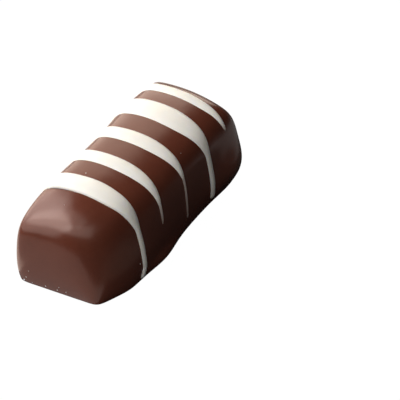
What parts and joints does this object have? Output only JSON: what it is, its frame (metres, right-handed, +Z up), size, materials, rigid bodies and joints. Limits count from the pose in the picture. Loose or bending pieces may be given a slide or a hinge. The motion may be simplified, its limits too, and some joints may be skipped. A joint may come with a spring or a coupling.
{
  "type": "chocolate bar",
  "caption": "Short filled chocolate bar with a domed top and upright sides, coated in milk chocolate and crossed by raised threads of white chocolate.",
  "frame": {"origin": "centre of the bar's bounding box in plan, on the flat base", "axes": "+X along the bar from the blunt, sloping near end to the far end, +Y towards the long side that the picture hides, +Z up"},
  "size_m": [0.0538, 0.0234, 0.0187],
  "materials": {
    "milk_chocolate": "tempered chocolate with a soft satin gloss, made in the scene by a procedural material",
    "white_chocolate": "ivory white chocolate with a soft satin gloss, made in the scene by a procedural material"
  },
  "bodies": {
    "root": {"bar": "milk_chocolate"}
  },
  "joints": []
}
